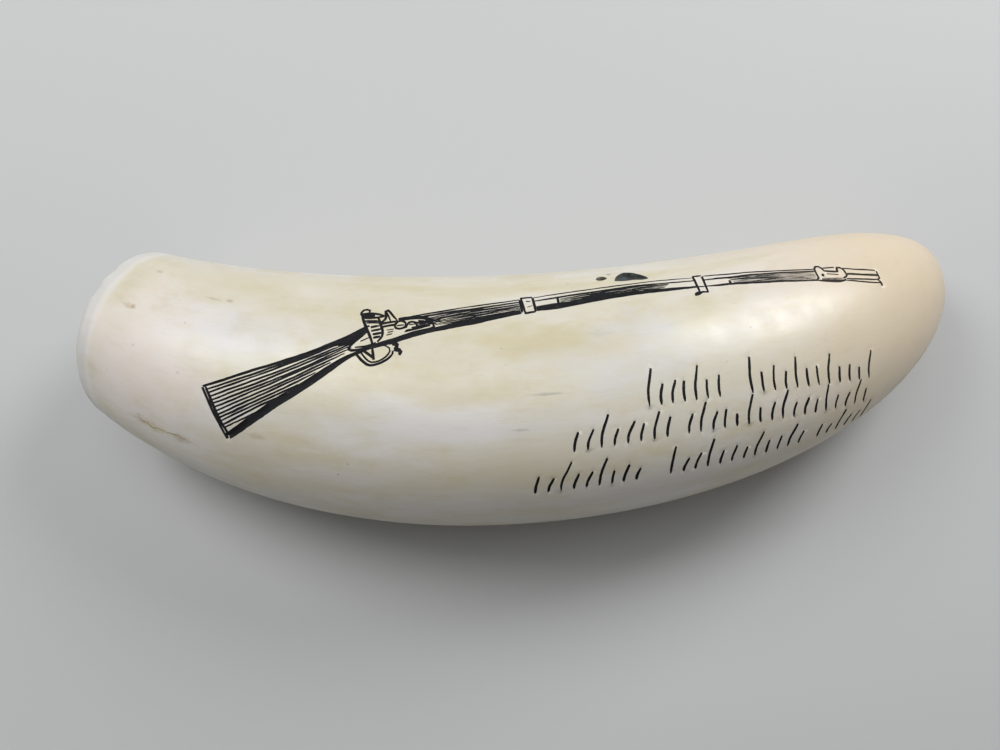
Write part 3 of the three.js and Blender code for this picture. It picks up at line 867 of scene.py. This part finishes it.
# how far each point is sunk along its normal: by the cuts, the pits and the slight waver of the polish
def reliefNodes(tree, sizes):
    here, size = addNode(tree, "GeometryNodeInputPosition").outputs[0], sizes["Waver Size"]
    drawnOut = maths(tree, "MULTIPLY", size, sizes["Waver Stretch"])
    waves = vectors(tree, "DIVIDE", here, vectorOf(tree, {"X": drawnOut, "Y": size, "Z": size}))
    noise = addNode(tree, "ShaderNodeTexNoise", {"Vector": waves, "Scale": 1.0, "Detail": 1.0}).outputs[0]
    sunk = maths(tree, "MULTIPLY", named(tree, "cut"), sizes["Cut Depth"])
    sunk = maths(tree, "ADD", sunk, maths(tree, "MULTIPLY", named(tree, "dent"), sizes["Pit Depth"]))
    sunk = maths(tree, "ADD", sunk, maths(tree, "MULTIPLY", noise, sizes["Polish Waver"]))
    normal = addNode(tree, "GeometryNodeInputNormal").outputs[0]
    return scaled(tree, normal, maths(tree, "MULTIPLY", sunk, -1.0))


# keeps the underside on the level that the tooth rests on
def aboveFloor(tree, sizes):
    here = addNode(tree, "GeometryNodeInputPosition").outputs[0]
    split = addNode(tree, "ShaderNodeSeparateXYZ", {0: here})
    floor = addNode(tree, "ShaderNodeSeparateXYZ", {0: sizes["Low Corner"]}).outputs["Z"]
    height = maths(tree, "MAXIMUM", split.outputs["Z"], floor)
    return vectorOf(tree, {"X": split.outputs["X"], "Y": split.outputs["Y"], "Z": height})


# the tree that rolls the skin up, and the values of its inputs by their identifiers
def wrapTree(materials):
    tree = bpy.data.node_groups.new("roll skin on tooth", "GeometryNodeTree")
    tree.interface.new_socket("Skin", in_out="INPUT", socket_type="NodeSocketGeometry")
    tree.interface.new_socket("Tooth", in_out="OUTPUT", socket_type="NodeSocketGeometry")
    values = {}
    for name, kind, value in wrapInputs(materials):
        socket = tree.interface.new_socket(name, in_out="INPUT", socket_type="NodeSocket" + kind)
        values[socket.identifier] = value
    given = addNode(tree, "NodeGroupInput")
    sizes = {socket.name: socket for socket in given.outputs if socket.name}
    shape = movedTo(tree, sizes["Skin"], "Position", wrapNodes(tree, sizes))
    for axis, angle in (("X", "Roll"), ("Y", "Tilt")):
        turn = vectorOf(tree, {axis: sizes[angle]})
        shape = addNode(tree, "GeometryNodeTransform", {0: shape, "Rotation": turn}).outputs[0]
    shape = movedTo(tree, shape, "Position", fitNodes(tree, sizes, shape))
    shape = movedTo(tree, shape, "Offset", reliefNodes(tree, sizes))
    shape = movedTo(tree, shape, "Position", aboveFloor(tree, sizes))
    shape = addNode(tree, "GeometryNodeSetShadeSmooth", {0: shape}, domain="FACE").outputs[0]
    shape = addNode(tree, "GeometryNodeRealizeInstances", {0: shape}).outputs[0]
    shape = addNode(tree, "GeometryNodeSetMaterial", {0: shape, "Material": sizes["Ivory"]}).outputs[0]
    kind = named(tree, "finish", "INT")
    for number, finish in enumerate(finishes[1:], 1):
        chosen = addNode(tree, "FunctionNodeCompare", {2: kind, 3: number}, data_type="INT",
                         operation="EQUAL").outputs[0]
        shape = addNode(tree, "GeometryNodeSetMaterial", {
            0: shape, "Selection": chosen, "Material": sizes[titled(finish)]}).outputs[0]
    addNode(tree, "NodeGroupOutput", {0: shape})
    return tree, values


def rollUp(skin, tree, values):
    rolled = skin.modifiers.new("roll up", "NODES")
    rolled.node_group = tree
    for identifier, value in values.items():
        rolled[identifier] = value
    graph = bpy.context.evaluated_depsgraph_get()
    evaluated = skin.evaluated_get(graph)
    mesh = bpy.data.meshes.new_from_object(evaluated, preserve_all_data_layers=True, depsgraph=graph)
    tooth = bpy.data.objects.new("engraved_tooth", mesh)
    bpy.context.scene.collection.objects.link(tooth)
    bpy.data.objects.remove(skin)
    mesh.name = "engraved_tooth"
    return tooth


# the ivory: colours are linear and distances are in millimetres from the sawn end. Each noise has how far its
# coordinates are scaled along the tooth, then scale, detail and roughness. Each ramp has where it starts and
# ends and, unless they are 0 and 1, the shares there.
ivoryLook = {
    "cream": (0.695, 0.645, 0.52, 1),
    "pale": (0.755, 0.712, 0.655, 1),
    "honey": (0.625, 0.545, 0.34, 1),
    "tan": (0.75, 0.615, 0.445, 1),
    # painted reflection: pale lavender patches where the cool light of the lamps is reflected
    "cool": (0.68, 0.67, 0.71, 1),
    # painted light: a rosy tint, paler than the cream, that lightens the root end as if more light fell there
    "rosy": (0.84, 0.745, 0.685, 1),
    "grain": (0.47, 0.42, 0.31, 1),
    "brown": (0.36, 0.23, 0.07, 1),
    "scratch": (0.28, 0.27, 0.24, 1),
    # painted shade: the rim's bevel greyed and cooled, as if turned away from the lamps
    "rim": (0.66, 0.66, 0.69, 1),
    # painted highlight: a pale line along the inner edge of the rim's bevel, where that edge catches light
    "rimEdgeHighlight": (0.86, 0.84, 0.82, 1),
    "rootRing": (0.55, 0.45, 0.30, 1),
    # painted shade: brown that darkens deeper into the root cavity
    "hollowShade": (0.30, 0.21, 0.12, 1),
    "roughness": 0.33,
    "refraction": 1.54,
    "glow": 0.1,
    "glowReach": (1.0, 0.7, 0.45),
    "glowScale": 0.003,
    "speckScale": 0.2,
    "ringShift": 2.5,
    "hairRelief": 0.15,
    "bumpStrength": 0.14,
    "bumpDepth": 0.0002,
    "noises": {
        "tone": (0.4, 0.07, 3.0, 0.55),
        "cloud": (0.45, 0.16, 6.0, 0.7),
        "grain": (0.2, 0.8, 6.0, 0.7),
        "hair": (0.06, 5.0, 2.0, 0.5),
        "rim": (1, 0.35, 2.0, 0.55),
        "shift": (0, 0.12, 2.0, 0.55),
        "ring": (1, 0.9, 3.0, 0.55),
        "relief": (0.3, 0.9, 6.0, 0.65),
        "polish": (1, 0.25, 4.0, 0.55),
    },
    "ramps": {
        "tone": (0.4, 0.6),
        "cloud": (0.45, 0.7, 0.0, 0.6),
        "tan": (98, 150, 0.0, 0.95),
        "grain": (0.5, 0.8, 0.0, 0.2),
        "hair": (0.68, 0.78, 0.0, 0.2),
        "speck": (0.05, 0.02, 0.0, 0.5),
        # where the painted shade over the rim's bevel starts and ends
        "rim": (5.4, 3.6, 0.0, 0.5),
        # where the painted highlight along the rim's bevel rises and falls
        "lineRise": (3.8, 4.6),
        "lineFall": (5.8, 4.8, 0.0, 0.3),
        "face": (0.3, -0.3),
        "ring": (0.4, 0.65, 0.1, 0.65),
        # how the painted shade deepens into the root cavity
        "hollow": (-8.5, -14.0, 0.0, 0.85),
        "polish": (0.3, 0.7, -0.05, 0.08),
        "faceRough": (0.2, -0.5, 0.0, 0.25),
    },
}

# stains and scratches on the skin, and patches of painted reflection and painted light, laid on in this
# order: tint, strength, distance from the sawn end, girth from the crest, and half sizes along and across
stainsAndPaintedLight = [
    ("honey", 0.7, 75.8, 0.8, 9.0, 3.0),
    ("honey", 0.5, 112.0, -11.0, 15.0, 2.6),
    ("honey", 0.35, 20.5, -3.5, 4.0, 1.3),
    ("honey", 0.55, 72.0, -11.5, 26.0, 2.6),
    ("honey", 0.25, 61.0, 4.6, 8.0, 2.0),
    ("honey", 0.35, 20.0, -9.5, 14.0, 4.0),
    ("honey", 0.45, 8.0, -5.0, 5.0, 6.0),
    ("honey", 0.4, 35.0, 19.5, 9.0, 3.5),
    ("honey", 0.3, 66.0, 21.5, 20.0, 4.0),
    # the cool patches in this list are painted reflection of the lamps
    ("cool", 0.4, 90.0, 5.5, 11.0, 5.0),
    ("cool", 0.25, 60.0, 13.5, 22.0, 2.6),
    ("honey", 0.5, 64.0, 8.5, 10.0, 2.4),
    ("cool", 0.45, 94.5, 0.5, 5.5, 3.5),
    ("honey", 0.4, 39.0, 24.8, 14.0, 2.6),
    # painted light: a paler rosy patch over the root
    ("rosy", 0.65, 14.0, 9.0, 13.0, 11.0),
    ("honey", 0.3, 88.0, 1.5, 9.0, 3.0),
    ("cool", 0.3, 30.0, 2.5, 8.0, 3.0),
    ("brown", 0.35, 9.3, 1.5, 1.3, 0.45),
    ("brown", 0.5, 10.1, 1.4, 0.4, 0.35),
    ("brown", 0.4, 9.6, -6.7, 0.7, 0.35),
    ("brown", 0.3, 22.6, -3.7, 1.4, 0.25),
    ("brown", 0.5, 25.3, -3.9, 0.6, 0.3),
    ("scratch", 0.3, 13.0, 7.3, 0.3, 0.2),
    ("scratch", 0.3, 21.9, 9.6, 0.3, 0.2),
    ("brown", 0.25, 35.8, 17.2, 1.4, 0.5),
    ("honey", 0.5, 56.7, -11.3, 1.8, 0.9),
    ("honey", 0.6, 78.3, -10.8, 2.4, 0.7),
    ("brown", 0.3, 16.0, 19.5, 2.4, 0.9),
    ("honey", 0.7, 18.5, 20.3, 2.0, 0.9),
    ("brown", 0.42, 23.2, 20.9, 1.9, 0.75),
    ("scratch", 0.5, 78.2, 9.1, 2.3, 0.2),
    ("scratch", 0.4, 74.0, 14.2, 1.2, 0.2),
    ("scratch", 0.15, 87.8, 0.4, 2.4, 0.6),
    ("scratch", 0.95, 93.0, -13.7, 0.45, 0.35),
]
stainAndLightEdge = {
    "noise": (1, 1.1, 4.0, 0.55),
    "ragRamp": (0.3, 0.7, -0.45, 0.45),
    "fade": (1.5, 0.3),
}


def newMaterial(name):
    material = bpy.data.materials.new(name)
    material.use_nodes = True
    material.node_tree.nodes.clear()
    return material, material.node_tree


def finished(material, shading):
    tree = material.node_tree
    shader = addNode(tree, "ShaderNodeBsdfPrincipled", shading)
    addNode(tree, "ShaderNodeOutputMaterial", {"Surface": shader.outputs[0]})
    return material


def colourMix(tree, share, first, second):
    return addNode(tree, "ShaderNodeMix", {0: share, 6: first, 7: second}, data_type="RGBA").outputs[2]


# the skin's own coordinates in millimetres, then the run from the sawn end and the girth from the crest
def skinPlace(tree):
    skin = scaled(tree, addNode(tree, "ShaderNodeUVMap", uv_map="skin").outputs[0], uvSpan)
    split = addNode(tree, "ShaderNodeSeparateXYZ", {0: skin})
    return skin, split.outputs["X"], split.outputs["Y"]


def noiseOf(tree, vector, noise):
    drawnOut, scale, detail, roughness = noise
    if drawnOut != 1:
        vector = addNode(tree, "ShaderNodeMapping", {"Vector": vector, "Scale": (drawnOut, 1, 1)}).outputs[0]
    return addNode(tree, "ShaderNodeTexNoise", {
        "Vector": vector, "Scale": scale, "Detail": detail, "Roughness": roughness}).outputs[0]


def ramped(tree, value, low, high, bottom=0.0, top=1.0):
    return addNode(tree, "ShaderNodeMapRange", {
        "Value": value, "From Min": low, "From Max": high, "To Min": bottom, "To Max": top},
        interpolation_type="SMOOTHSTEP").outputs[0]


def stainAndLightMask(tree, skin, strength, run, girth, length, breadth):
    centred = vectors(tree, "SUBTRACT", skin, (run, girth, 0))
    shrunk = vectors(tree, "DIVIDE", centred, (length, breadth, 1))
    radius = addNode(tree, "ShaderNodeVectorMath", {0: shrunk}, operation="LENGTH").outputs["Value"]
    rag = ramped(tree, noiseOf(tree, shrunk, stainAndLightEdge["noise"]), *stainAndLightEdge["ragRamp"])
    return ramped(tree, maths(tree, "ADD", radius, rag), *stainAndLightEdge["fade"], 0.0, strength)


def ivoryMaterial(look):
    material, tree = newMaterial("polished_ivory")
    skin, run, _ = skinPlace(tree)
    unbent = addNode(tree, "ShaderNodeAttribute", attribute_name="unbent").outputs["Vector"]

    def noise(name):
        return noiseOf(tree, unbent, look["noises"][name])

    def ramp(value, name):
        return ramped(tree, value, *look["ramps"][name])

    def tinted(colour, share, tint):
        return colourMix(tree, share, colour, look[tint])

    colour = tinted(look["cream"], ramp(noise("tone"), "tone"), "pale")
    colour = tinted(colour, ramp(noise("cloud"), "cloud"), "honey")
    colour = tinted(colour, ramp(run, "tan"), "tan")
    # stains and scratches, with the patches of painted reflection and painted light among them
    for tint, *stainAndLight in stainsAndPaintedLight:
        colour = tinted(colour, stainAndLightMask(tree, skin, *stainAndLight), tint)
    colour = tinted(colour, ramp(noise("grain"), "grain"), "grain")
    hair = noise("hair")
    colour = tinted(colour, ramp(hair, "hair"), "scratch")
    speck = addNode(tree, "ShaderNodeTexVoronoi", {"Vector": unbent, "Scale": look["speckScale"]}).outputs[0]
    colour = tinted(colour, ramp(speck, "speck"), "brown")
    # painted shade: the rim's bevel tinted cool grey, as if turned away from the lamps
    rimRun = maths(tree, "ADD", run, noise("rim"))
    colour = tinted(colour, ramp(rimRun, "rim"), "rim")
    # a pale line just inside the rim: painted highlight on the bevel's edge
    rimEdgeHighlight = maths(tree, "MULTIPLY", ramp(rimRun, "lineRise"), ramp(rimRun, "lineFall"))
    colour = tinted(colour, rimEdgeHighlight, "rimEdgeHighlight")
    shift = maths(tree, "MULTIPLY", noise("shift"), look["ringShift"])
    depth = vectorOf(tree, {"X": maths(tree, "ADD", run, shift)})
    rings = ramp(noiseOf(tree, depth, look["noises"]["ring"]), "ring")
    colour = tinted(colour, maths(tree, "MULTIPLY", ramp(run, "face"), rings), "rootRing")
    # painted shade, darkening deeper into the root cavity
    colour = tinted(colour, ramp(run, "hollow"), "hollowShade")
    height = maths(tree, "ADD", noise("relief"), maths(tree, "MULTIPLY", hair, look["hairRelief"]))
    bump = addNode(tree, "ShaderNodeBump", {
        "Height": height, "Strength": look["bumpStrength"], "Distance": look["bumpDepth"]}).outputs[0]
    low, high, smoother, rougher = look["ramps"]["polish"]
    smoothest, roughest = look["roughness"] + smoother, look["roughness"] + rougher
    rough = ramped(tree, noise("polish"), low, high, smoothest, roughest)
    rough = maths(tree, "ADD", rough, ramp(run, "faceRough"))
    return finished(material, {
        "Base Color": colour, "Roughness": rough, "Normal": bump, "IOR": look["refraction"],
        "Subsurface Weight": look["glow"], "Subsurface Scale": look["glowScale"],
        "Subsurface Radius": look["glowReach"]})


inkLook = {
    "black": (0.010, 0.010, 0.012, 1),
    "worn": (0.11, 0.095, 0.075, 1),
    "faded": (0.075, 0.055, 0.04, 1),
    "roughness": 0.7,
    "gloss": 0.2,
    "wornNoise": (0.5, 1.6, 4.0, 0.65),
    "wornRamp": (0.56, 0.8, 0.0, 0.6),
    "fadedRamp": (112, 138, 0.0, 0.5),
}


def inkMaterial(look):
    material, tree = newMaterial("rubbed_ink")
    skin, run, _ = skinPlace(tree)
    colour = colourMix(tree, ramped(tree, run, *look["fadedRamp"]), look["black"], look["faded"])
    worn = ramped(tree, noiseOf(tree, skin, look["wornNoise"]), *look["wornRamp"])
    colour = colourMix(tree, worn, colour, look["worn"])
    return finished(material, {
        "Base Color": colour, "Roughness": look["roughness"], "Specular IOR Level": look["gloss"]})


# the pits: teal in the large one, darker towards its upper side, and olive in the small one before it
pitLook = {
    "teal": (0.10, 0.17, 0.165, 1),
    "dark": (0.012, 0.014, 0.012, 1),
    "olive": (0.045, 0.035, 0.012, 1),
    "roughness": 0.4,
    "shadeNoise": (0.6, 1.3, 4.0, 0.55),
    "shadeRamp": (0.35, 0.65, -0.35, 0.35),
    "tealRamp": (-5.6, -3.4),
    "oliveRamp": (92.7, 92.3),
}


def pitMaterial(look):
    material, tree = newMaterial("stained_pit")
    skin, run, girth = skinPlace(tree)
    shade = ramped(tree, noiseOf(tree, skin, look["shadeNoise"]), *look["shadeRamp"])
    teal = maths(tree, "ADD", shade, ramped(tree, girth, *look["tealRamp"]))
    colour = colourMix(tree, teal, look["dark"], look["teal"])
    colour = colourMix(tree, ramped(tree, run, *look["oliveRamp"]), colour, look["olive"])
    return finished(material, {"Base Color": colour, "Roughness": look["roughness"]})


crackLook = {
    "dirt": (0.22, 0.15, 0.07, 1),
    "pale": (0.45, 0.35, 0.20, 1),
    "roughness": 0.7,
    "dirtNoise": (1, 1.1, 3.0, 0.55),
    "dirtRamp": (0.35, 0.65),
}


def crackMaterial(look):
    material, tree = newMaterial("dirty_crack")
    place = scaled(tree, addNode(tree, "ShaderNodeTexCoord").outputs["Object"], 1 / mm)
    dirt = ramped(tree, noiseOf(tree, place, look["dirtNoise"]), *look["dirtRamp"])
    colour = colourMix(tree, dirt, look["dirt"], look["pale"])
    return finished(material, {"Base Color": colour, "Roughness": look["roughness"]})


# the photograph's view: it looks down steeply, a little from the left of the near side
cameraSizes = {
    "lens": 29.0,
    "sensor": 36.0,
    "azimuth": -6.908,
    "elevation": 78.0,
    "distance": 150.0,
    "target": (-6.52, -1.70, 14.8),
    "clipStart": 10.0,
}


def addCamera(sizes):
    data = bpy.data.cameras.new("camera")
    data.lens, data.sensor_width, data.sensor_fit = sizes["lens"], sizes["sensor"], "HORIZONTAL"
    data.clip_start = sizes["clipStart"] * mm
    azimuth, elevation = math.radians(sizes["azimuth"]), math.radians(sizes["elevation"])
    level = math.cos(elevation)
    back = Vector((math.sin(azimuth) * level, -math.cos(azimuth) * level, math.sin(elevation)))
    camera = bpy.data.objects.new("camera", data)
    camera.location = (Vector(sizes["target"]) + back * sizes["distance"]) * mm
    camera.rotation_euler = (math.pi / 2 - elevation, 0, azimuth)
    bpy.context.scene.collection.objects.link(camera)
    bpy.context.scene.camera = camera


# the studio, in metres: a plain floor and three round lamps
studioSizes = {
    "floor": 3.0,
    "floorColour": (0.58, 0.58, 0.57, 1),
    "floorRoughness": 0.8,
    "skyColour": (1, 1, 1, 1),
    "skyStrength": 0.12,
    "lampColour": (0.96, 0.98, 1.0),
    "lamps": {
        "back_left": {"at": (-0.21, 0.17, 0.32), "aim": (-0.05, 0, 0.03), "size": 0.22, "power": 0.71},
        "back_right": {"at": (0.27, 0.22, 0.28), "aim": (0.045, 0, 0.03), "size": 0.2, "power": 1.0},
        "overhead": {"at": (-0.01, 0.15, 0.68), "aim": (0, 0, 0.02), "size": 0.5, "power": 1.13},
    },
}


def addStudio(sizes):
    scene = bpy.context.scene
    half = sizes["floor"] / 2
    mesh = bpy.data.meshes.new("floor")
    corners = [(-half, -half, 0), (half, -half, 0), (half, half, 0), (-half, half, 0)]
    mesh.from_pydata(corners, [], [(0, 1, 2, 3)])
    floor = bpy.data.objects.new("floor", mesh)
    scene.collection.objects.link(floor)
    material, _ = newMaterial("pale_floor")
    shading = {"Base Color": sizes["floorColour"], "Roughness": sizes["floorRoughness"]}
    mesh.materials.append(finished(material, shading))
    scene.world = bpy.data.worlds.new("soft_room")
    scene.world.use_nodes = True
    sky = scene.world.node_tree.nodes["Background"]
    sky.inputs["Color"].default_value = sizes["skyColour"]
    sky.inputs["Strength"].default_value = sizes["skyStrength"]
    for name, lamp in sizes["lamps"].items():
        data = bpy.data.lights.new(name, "AREA")
        data.shape, data.size, data.energy = "DISK", lamp["size"], lamp["power"]
        data.color = sizes["lampColour"]
        holder = bpy.data.objects.new(name, data)
        holder.location = lamp["at"]
        holder.rotation_euler = (Vector(lamp["at"]) - Vector(lamp["aim"])).to_track_quat("Z", "Y").to_euler()
        scene.collection.objects.link(holder)
    scene.view_settings.view_transform = "Standard"


addCamera(cameraSizes)
addStudio(studioSizes)
print("camera and studio set")

strokes = buttStrokes(buttSizes) + drawLines(lockLines, "lock")
strokes += barrelStrokes(barrelStretches, fittingLines)
strokes += markStrokes(markSizes) + [crackStroke(crackSizes)]
pits = [pitShape(outline, pitSizes) for outline in pitSizes["outlines"]]
print("picture drawn with", len(strokes), "strokes")

skin = buildSkin(strokes, pits)
materials = {"ivory": ivoryMaterial(ivoryLook), "ink": inkMaterial(inkLook),
             "pit": pitMaterial(pitLook), "crack": crackMaterial(crackLook)}
tooth = rollUp(skin, *wrapTree(materials))
print("tooth rolled up with", len(tooth.data.polygons), "faces")

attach(tooth, "root")
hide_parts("tooth")
